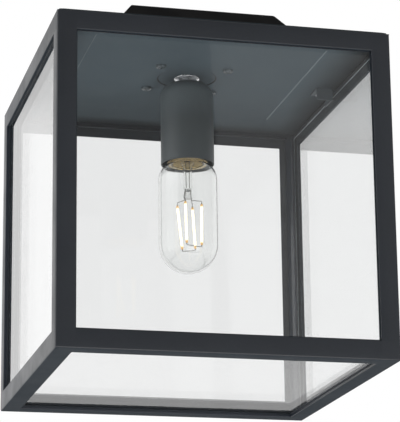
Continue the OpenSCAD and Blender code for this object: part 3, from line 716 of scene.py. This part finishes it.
def roof_plate():
    """The pressed tray, whose side creases get a painted highlight and whose ring step gets a painted
    shadow.
    """
    rim, wall, panel, ring, hole = HALF - 1, LEG_IN - 0.3, 87.0, 22.5, 5.3
    t = SHEET
    low = [
        (rim, 2.5, Z_RAIL + t - 0.3), (rim, 2.5, Z_RAIL + 0.3), (rim - 0.3, 2.2, Z_RAIL),
        (wall + 0.25, 2.25, Z_RAIL), (wall, 2.0, Z_RAIL - 0.25), (wall, 2.0, Z_PAN + 0.7),
        (wall - 0.2, 2.0, Z_PAN + 0.2), (wall - 0.7, 2.0, Z_PAN),
        (panel + 0.4, 3.0, Z_PAN), (panel + 0.1, 3.0, Z_PAN + 0.08), (panel - 0.5, 3.0, Z_PANEL - 0.08),
        (panel - 0.8, 3.0, Z_PANEL), (60.0, 12.0, Z_PANEL), (36.0, 36.0, Z_PANEL),
        (ring + 0.5, ring + 0.5, Z_PANEL), (ring + 0.15, ring + 0.15, Z_PANEL + 0.06),
        (ring - 0.35, ring - 0.35, Z_RING - 0.06), (ring - 0.7, ring - 0.7, Z_RING),
        (hole + 0.2, hole + 0.2, Z_RING), (hole, hole, Z_RING + 0.2),
    ]
    top = [
        (hole, hole, Z_RING + t), (ring - 0.2, ring - 0.2, Z_RING + t),
        (ring + 0.9, ring + 0.9, Z_PANEL + t), (60.0, 12.0, Z_PANEL + t),
        (panel - 0.5, 3.0, Z_PANEL + t), (panel + 0.6, 3.0, Z_PAN + t),
        (wall - t - 0.6, 1.5, Z_PAN + t), (wall - t, 1.5, Z_PAN + t + 0.5),
        (wall - t, 1.5, Z_RAIL + t - 0.4), (wall - t + 0.4, 1.5, Z_RAIL + t), (rim - 0.3, 2.2, Z_RAIL + t),
    ]
    bm = bmesh.new()
    rows = square_shell(bm, low + top, angles)
    # The panel's step is a sharp crease at its sides and eases out at its front and back
    first = low.index((panel + 0.4, 3.0, Z_PAN))
    for row, spread in zip(rows[first:first + 4], (3.6, 2.9, -4.5, -7.2)):
        for v in row:
            reach = abs(v.co.y) - abs(v.co.x)
            v.co.y += spread * min(max(reach / 12, 0), 1) * (1 if v.co.y > 0 else -1)
    # Painted highlight: the crease faces at the panel's sides take the lighter coat
    for a, b in zip(rows[first + 1], rows[first + 2]):
        edge = bm.edges.get((a, b))
        for f in edge.link_faces if edge else ():
            if all(abs(v.co.x) > panel - 1 for v in f.verts):
                f.material_index = 1
    # Painted shadow: the faces of the ring's step take the dark coat
    first = low.index((ring + 0.5, ring + 0.5, Z_PANEL))
    for a, b in zip(rows[first:first + 3], rows[first + 1:first + 4]):
        for v, w in zip(a, b):
            for f in bm.edges.get((v, w)).link_faces:
                f.material_index = 2
    mats = [roof_coat, crease_highlight_coat, ring_shadow_coat]
    piece("roof_plate_pressed", bm, mats, "fixture", ["roof_plate"], 25)


def pan_heads():
    """Four pan-head screws with cross recesses, and their shanks."""
    bm = bmesh.new()
    spots = [(x, y) for x in (-26, 26) for y in (-26, 26)]
    r, h = 3.8, 2.6
    for cx, cy in spots:
        section = [(0.0, Z_PANEL - h)] + arc(0, Z_PANEL - h + 4.3, 4.3, -85, -62, 5)
        section = [(s, z) for s, z in section if s < r - 0.5]
        section += arc(r - 0.9, Z_PANEL - 1.1, 0.9, -60, 0, 5) + [(r, Z_PANEL)]
        section += [(1.95, Z_PANEL), (1.95, Z_PANEL + 11), (1.2, Z_PANEL + 12), (0, Z_PANEL + 12)]
        lathe(bm, section, 32, (cx, cy), closed=False)
    obj = piece("roof_screws_pan", bm, [screw_coat], "fixture", ["roof_screws"], 40)
    cutters = []
    for k, (cx, cy) in enumerate(spots):
        turn = Matrix.Rotation(math.radians((20, 65, 40, 5)[k]), 4, "Z")
        for spin in (0, 90):
            bm = bmesh.new()
            box(bm, (-2.0, -0.42, -1.3), (2.0, 0.42, 1.3))
            place = Matrix.Translation((cx, cy, Z_PANEL - h)) @ turn
            place = place @ Matrix.Rotation(math.radians(spin), 4, "Z")
            bmesh.ops.transform(bm, matrix=place, verts=bm.verts)
            cutters.append(loose("cutter", bm))
    cut(obj, cutters)


def washer_and_nuts():
    """The bright washer under the roof plate, and the three nuts on the threaded tube."""
    bm = bmesh.new()
    z = Z_RING
    r = 9.75
    section = [(5.1, z), (r - 0.3, z)] + arc(r - 0.3, z - 0.3, 0.3, 90, 0, 3)
    section += arc(r - 0.45, z - 0.75, 0.45, 0, -90, 4) + [(5.1, z - 1.2)]
    lathe(bm, section, 72)
    piece("roof_washer_plated", bm, [bright], "fixture", ["roof_washer"], 30)
    bm = bmesh.new()
    flats, steps = 7.0, 48
    reach = flats / math.cos(math.radians(30))
    for low, high in ((Z_RING + SHEET, Z_RING + SHEET + 4.3), (SLEEVE_TOP, SLEEVE_TOP + 4.3),
                      (SLEEVE_TOP - 4.9, SLEEVE_TOP - 1.9)):
        section = [(5.1, low), (6.7, low), (reach, low + 0.8)]
        section += [(reach, high - 0.8), (6.7, high), (5.1, high)]
        rows = []
        for r_limit, height in section:
            row = []
            for i in range(steps):
                a = 2 * math.pi * i / steps
                wedge = (a + math.pi / 6) % (math.pi / 3) - math.pi / 6
                hexagon = flats / math.cos(wedge)
                radius = min(r_limit, hexagon)
                row.append(bm.verts.new((radius * math.cos(a), radius * math.sin(a), height)))
            rows.append(row)
        skin(bm, rows, closed=True)
    piece("nipple_nuts_hex", bm, [zinc], "fixture", ["nipple_nuts"], 25)


def sleeve():
    """The painted sleeve with its domed shoulder and rolled lower lip."""
    r, t = SLEEVE_R, SLEEVE_T
    big, lip = 10.0, 0.55
    inner = big - t
    section = [(5.3, SLEEVE_TOP)] + arc(r - big, SLEEVE_TOP - big, big, 90, 0, 24)
    section += arc(r - lip, SLEEVE_LOW + lip, lip, 0, -90, 8)
    section += arc(r - t + 0.4, SLEEVE_LOW + 0.4, 0.4, -90, -180, 4)
    section += arc(r - t - inner, SLEEVE_TOP - big, inner, 0, 90, 16) + [(5.3, SLEEVE_TOP - t)]
    bm = bmesh.new()
    lathe(bm, section, 128)
    piece("holder_sleeve_painted", bm, [sleeve_coat], "fixture", ["holder_sleeve"], 40)


def helix_wall(bm, inner, outer, low, high, steps=64, rows_a_turn=14):
    """A tube whose walls follow a rounded thread; each wall is (mean radius, half depth)."""
    count = int((high - low) / PITCH * rows_a_turn)

    def wall(mean, depth):
        rows = []
        for k in range(count + 1):
            z = low + (high - low) * k / count
            row = []
            for i in range(steps):
                a = 2 * math.pi * i / steps
                # A right-hand thread climbs as it turns anticlockwise seen from above
                r = mean + depth * math.cos(2 * math.pi * z / PITCH - a)
                row.append(bm.verts.new((r * math.cos(a), r * math.sin(a), z)))
            rows.append(row)
        return rows

    out, ins = wall(*outer), wall(*inner)
    skin(bm, out)
    skin(bm, ins)
    for k in (0, -1):
        skin(bm, [out[k], ins[k]])


def lampholder():
    """The threaded shell and the moulded insert round it."""
    bm = bmesh.new()
    helix_wall(bm, (13.05, 0.42), (13.55, 0.38), SHELL_LOW, SHELL_TOP)
    piece("screw_shell_threaded", bm, [brass], "fixture", ["screw_shell"], 60)
    bm = bmesh.new()
    low, split, r, bore = -100.3, -73.8, 18.8, 14.0
    section = [(bore, low + 0.5), (bore + 0.5, low), (r - 0.8, low), (r - 0.2, low + 0.2), (r, low + 0.8)]
    section += [(r, split), (16.75, split), (16.75, split + 4), (0, split + 4)]
    lathe(bm, section, 72, closed=False)
    lathe(bm, [(bore, low + 0.5), (bore, SHELL_TOP), (0, SHELL_TOP)], 72, closed=False)
    piece("holder_insert_moulded", bm, [holder_resin], "fixture", ["holder_insert"], 30)


roof_plate()
pan_heads()
washer_and_nuts()
sleeve()
lampholder()
for node, mat, soft in (
    ("canopy", canopy_coat, 0), ("ceiling_gasket", foam, 0), ("cable_grommet", bush_rubber, 0),
    ("roof_pillars", zinc, 0), ("terminal_block", block_resin, 0), ("terminal_screws", brass, 0),
    ("block_screw", zinc, 0), ("earth_stud", brass, 0), ("live_lead", lead_brown, 0),
    ("neutral_lead", lead_blue, 0), ("earth_lead", lead_green, 0), ("left_clip", clip_steel, 0.25),
    ("right_clip", clip_steel, 0.25), ("clip_rivets", zinc, 0.2), ("nipple", zinc, 0),
    ("holder_cap", holder_resin, 0), ("centre_contact", brass, 0.15), ("holder_terminals", brass, 0.2),
    ("holder_screws", zinc, 0.15), ("bulb_contact", contact_metal, 0.3),
    ("bulb_insulator", bulb_glaze, 0.2),
):
    dress(node, mat, soft)

# ------------------------------------------------------------------ bulb


def envelope_section(inset, end):
    """Outline of the glass from its tip to its neck, drawn in by the wall."""
    side, bend = BULB_R - inset, SHOULDER_R - inset
    neck = NECK_R - inset
    drop = BULB_R - NECK_R
    length = math.sqrt(SHOULDER_R ** 2 - (SHOULDER_R - drop) ** 2)
    z_shoulder = CAP_LOW - length
    z_dome = BULB_LOW + BULB_R
    stop = math.degrees(math.acos((neck - (BULB_R - SHOULDER_R)) / bend))
    points = [(0.0, z_dome - side)] + arc(0, z_dome, side, -87, 0, 30)
    points += [(side, z_dome + (z_shoulder - z_dome) * k / 6) for k in range(1, 6)]
    return points + arc(BULB_R - SHOULDER_R, z_shoulder, bend, 0, stop, 20) + [(neck, end)]


def bulb():
    """The blown glass, its pressed stem, and the threaded cap with its cement."""
    end = CAP_LOW + 6
    bm = bmesh.new()
    outer, inner = envelope_section(0, end), envelope_section(GLASS_T, end)
    lathe(bm, outer + inner[::-1], 128, closed=False)
    piece("bulb_envelope_blown", bm, [bulb_glass], "bulb", ["bulb_envelope"], 60)

    bm = bmesh.new()
    flare, z_flare, z_tube, r, t = NECK_R - GLASS_T - 0.05, CAP_LOW + 6, PINCH_LOW + 7.5, 3.3, 0.6
    section = [(flare, z_flare), (flare - 2.2, z_flare - 1.2), (flare - 5.5, z_flare - 4.0),
               (r + 0.4, z_flare - 9), (r, z_flare - 12), (r, z_tube + 1.5), (2.6, z_tube - 1)]
    back = [(1.4, z_tube - 0.2), (r - t, z_tube + 2), (r - t, z_flare - 12), (r + 0.4 - t, z_flare - 9),
            (flare - 6.2, z_flare - 4), (flare - 2.4, z_flare - 0.6), (flare - 0.6, z_flare)]
    lathe(bm, section + back, 48)
    pinch_rows, last, steps = [], 8, 28
    turns = [2 * math.pi * i / steps for i in range(steps)]
    for k in range(last + 1):
        f = k / last
        z = z_tube + 0.2 - (z_tube + 0.2 - PINCH_LOW) * f
        ease = f * f * (3 - 2 * f)
        a, b = 2.6 + (3.5 - 2.6) * ease, 2.6 + (1.35 - 2.6) * ease
        if k == last:
            a, b = a - 0.7, b - 0.4
        pinch_rows.append([(a * math.cos(turn), b * math.sin(turn), z) for turn in turns])
    prism(bm, pinch_rows)
    piece("bulb_stem_pressed", bm, [stem_glass], "bulb", ["bulb_stem"], 40)

    bm = bmesh.new()
    top = Z_TIP - 1.4 - 4.2
    helix_wall(bm, (12.35, 0.4), (12.6, 0.4), CAP_LOW + 5.0, top - 2.0)
    rim = [(12.55, CAP_LOW + 5.2), (12.85, CAP_LOW + 4.6), (12.95, CAP_LOW + 2.2), (14.0, CAP_LOW + 0.8),
           (15.2, CAP_LOW + 0.25), (15.3, CAP_LOW), (14.3, CAP_LOW + 0.1), (12.66, CAP_LOW + 1.6),
           (12.66, CAP_LOW + 4.4)]
    lathe(bm, rim, 96)
    lid = [(12.2, top - 2.2), (12.9, top - 1.6), (12.2, top - 0.5), (10.5, top), (9.4, top),
           (9.4, top - 0.35), (10.2, top - 0.4), (11.8, top - 0.9), (12.3, top - 1.7)]
    lathe(bm, lid, 96)
    # The cement that holds the glass, seen through the neck
    ribs, steps = 45, 180
    section = [(3.9, 1.6, 0.0), (5.0, 1.0, 0.12), (8.0, 0.9, 0.2), (10.6, 0.8, 0.2), (11.5, 0.5, 0.0),
               (11.5, 3.0, 0.0), (3.9, 3.0, 0.0)]
    rows = []
    for r, z, swell in section:
        row = []
        for i in range(steps):
            a = 2 * math.pi * i / steps
            height = CAP_LOW + z + swell * math.cos(ribs * a)
            row.append(bm.verts.new((r * math.cos(a), r * math.sin(a), height)))
        rows.append(row)
    for face in skin(bm, rows, closed=True):
        face.material_index = 1
    piece("bulb_cap_threaded", bm, [cap_metal, cap_cement], "bulb", ["bulb_cap"], 60)


def sticks():
    """Four lit sticks with bright end pins, and the wires that hold and join them."""
    bm, wires = bmesh.new(), bmesh.new()
    for i in range(4):
        top = Vector((*STICK_TOPS[i], STICK_TOP))
        low = Vector((*STICK_LOWS[i], STICK_LOW))
        d = (low - top).normalized()
        body = [top + d * s for s in (0.6, 0.75, 1.1)] + [low - d * s for s in (1.1, 0.75, 0.6)]
        tube(bm, body, STICK_R, 20, (0.45, 0.8, 1.0, 1.0, 0.8, 0.45))
        for end, way in ((top, d), (low, -d)):
            tube(wires, [end, end + way * 0.9], 0.42, 12)
    z_foot = PINCH_LOW + 0.6
    for i in range(4):
        side = -1 if i < 2 else 1
        start = Vector((side * 2.4, 0.0, z_foot))
        knee = Vector((side * 2.8, 0.4 if i % 2 == 0 else -0.4, PINCH_LOW - 1.0))
        end = Vector((*STICK_TOPS[i], STICK_TOP + 0.2))
        bend = end + Vector((0, 0, 1.4))
        path = [start, start.lerp(knee, 0.6), knee, knee.lerp(bend, 0.5), bend]
        path += [end + Vector((0, 0, 0.6)), end - Vector((0, 0, 0.5))]
        tube(wires, path, WIRE_R, 10)
    for a, b in ((0, 2), (1, 3)):
        p = Vector((*STICK_LOWS[a], STICK_LOW + 0.4))
        q = Vector((*STICK_LOWS[b], STICK_LOW + 0.4))
        sag = Vector((0, 0, -1.1))
        path = [p, p + sag, p.lerp(q, 0.15) + sag * 1.1, p.lerp(q, 0.85) + sag * 1.1, q + sag, q]
        tube(wires, path, WIRE_R, 10)
    for x in (-1.5, 1.5):
        path = [(x, 0, CAP_LOW + 6), (x * 0.9, 0.3, CAP_LOW - 6), (x * 0.8, 0, PINCH_LOW + 9)]
        path += [(x * 1.4, 0, PINCH_LOW + 3), (x * 1.6, 0, z_foot)]
        tube(wires, path, LEAD_IN_R, 10)
    piece("led_filaments_lit", bm, [phosphor], "bulb", ["led_filaments"], 60)
    piece("filament_wires_bent", wires, [wire_metal], "bulb", ["filament_wires"], 60)


bulb()
sticks()

# ------------------------------------------------------------------ stage, light and camera
LANTERN_CENTRE = (0, 0, -0.15)
LAMPS = (  # name, place and side in metres, power in watts
    ("key", (-2.1, -0.5, -0.2), 2.4, 34),
    ("fill", (1.6, -1.9, 0.2), 2.4, 5),
    ("low", (0.1, -0.7, -0.95), 1.0, 6.5),
)
FLOOR_HALF = 4.0
FLOOR_Z = -1.0
FLOOR_GLARE = 0.86  # brightness of the floor in glass and metal
IMAGE_W = 400
FOCAL_PX = 2114.17
SENSOR_W = 36.0
CAMERA_PLACE = (-0.36173, -1.49496, -0.57253)
CAMERA_TURN = (
    (0.97125874, -0.05325119, -0.23199303),
    (-0.23774935, -0.26402905, -0.93475339),
    (-0.01147617, 0.9630436, -0.26910096),
)


def world():
    """A studio that is white to the camera, and that glass and metal see with a dark front."""
    w = bpy.data.worlds.new("studio")
    scene.world = w
    w.use_nodes = True
    w.node_tree.nodes.clear()
    n = Nodes(w.node_tree)
    out = n.add("ShaderNodeOutputWorld")
    way = n.split(n.add("ShaderNodeTexCoord").outputs["Generated"])
    x, y, z = (way[k] for k in "XYZ")
    path = n.add("ShaderNodeLightPath")
    # What glass and metal reflect: bright behind and at the left, dark in front
    depth = n.ramp(y, -0.35, 0.45, 0.30, 1.0)
    left = n.ramp(x, -0.35, -0.95, 0.0, 0.8)
    studio = n.math("MAXIMUM", depth, left)
    # Rays that only pass through glass find the studio bright on every side
    through = n.ramp(path.outputs["Glossy Depth"], 0.0, 1.0, 0.75, 0.0, smooth=False)
    studio = n.math("MAXIMUM", studio, through)
    above = n.ramp(z, 0.305, 0.325, 1.0, 0.85)
    studio = n.math("MULTIPLY", studio, above)
    # What lights the dull surfaces, from the left and from the front
    fill = n.math("MULTIPLY", n.ramp(x, -0.9, 0.9, 0.62, 0.42), n.ramp(y, -0.9, 0.9, 1.25, 0.55))
    # White to the camera, and a little less so high up where it looks through a pane
    seen = path.outputs["Is Camera Ray"]
    behind = n.math("GREATER_THAN", path.outputs["Transparent Depth"], 0.5)
    shade = n.math("MULTIPLY", behind, n.math("SUBTRACT", 1.0, above))
    camera = n.math("SUBTRACT", 1.0, shade)
    shiny = n.math("MAXIMUM", path.outputs["Is Glossy Ray"], path.outputs["Is Transmission Ray"])
    level = n.add("ShaderNodeMix", {0: shiny, 2: fill, 3: studio}, data_type="FLOAT").outputs[0]
    level = n.add("ShaderNodeMix", {0: seen, 2: level, 3: camera}, data_type="FLOAT").outputs[0]
    ground = n.add("ShaderNodeBackground", {"Color": (1, 1, 1, 1), "Strength": level})
    n.tree.links.new(ground.outputs[0], out.inputs["Surface"])


def area_light(name, place, size, power):
    """A square lamp in metres and watts that faces the lantern."""
    data = bpy.data.lights.new(name, "AREA")
    data.shape = "RECTANGLE"
    data.size = data.size_y = size
    data.energy = power
    obj = bpy.data.objects.new(name, data)
    obj.location = place
    obj.rotation_euler = (Vector(LANTERN_CENTRE) - Vector(place)).to_track_quat("-Z", "Y").to_euler()
    obj.visible_transmission = False
    scene.collection.objects.link(obj)


def floor():
    """A pale floor that keeps the shadow, and that glass and metal see evenly bright."""
    mat, n = new_material("floor")
    speck = n.noise(n.coords, 3.0, 4.0)
    colour = n.blend(n.ramp(speck, 0.3, 0.7), (0.86, 0.86, 0.86, 1), (0.88, 0.88, 0.88, 1))
    shader = finish_material(n, {"Base Color": colour, "Roughness": 0.8, "Specular IOR Level": 0.1})
    path = n.add("ShaderNodeLightPath")
    shiny = n.math("MAXIMUM", path.outputs["Is Glossy Ray"], path.outputs["Is Transmission Ray"])
    white = n.add("ShaderNodeEmission", {"Color": (1, 1, 1, 1), "Strength": FLOOR_GLARE})
    mix = n.add("ShaderNodeMixShader", {0: shiny, 1: shader.outputs[0], 2: white.outputs[0]})
    n.tree.links.new(mix.outputs[0], n.out.inputs["Surface"])
    bm = bmesh.new()
    ring = ((-1, -1), (1, -1), (1, 1), (-1, 1))
    bm.faces.new([bm.verts.new((x * FLOOR_HALF, y * FLOOR_HALF, FLOOR_Z)) for x, y in ring])
    mesh = bpy.data.meshes.new("floor")
    bm.to_mesh(mesh)
    bm.free()
    mesh.materials.append(mat)
    obj = bpy.data.objects.new("floor", mesh)
    scene.collection.objects.link(obj)


def camera():
    """The photo's viewpoint, fitted to the frame's eight corners."""
    data = bpy.data.cameras.new("camera")
    data.sensor_fit = "HORIZONTAL"
    data.sensor_width = SENSOR_W
    data.lens = FOCAL_PX / IMAGE_W * SENSOR_W
    obj = bpy.data.objects.new("camera", data)
    obj.matrix_world = Matrix.Translation(CAMERA_PLACE) @ Matrix(CAMERA_TURN).to_4x4()
    scene.collection.objects.link(obj)
    scene.camera = obj


world()
floor()
for name, place, size, power in LAMPS:
    area_light(name, place, size, power)
camera()
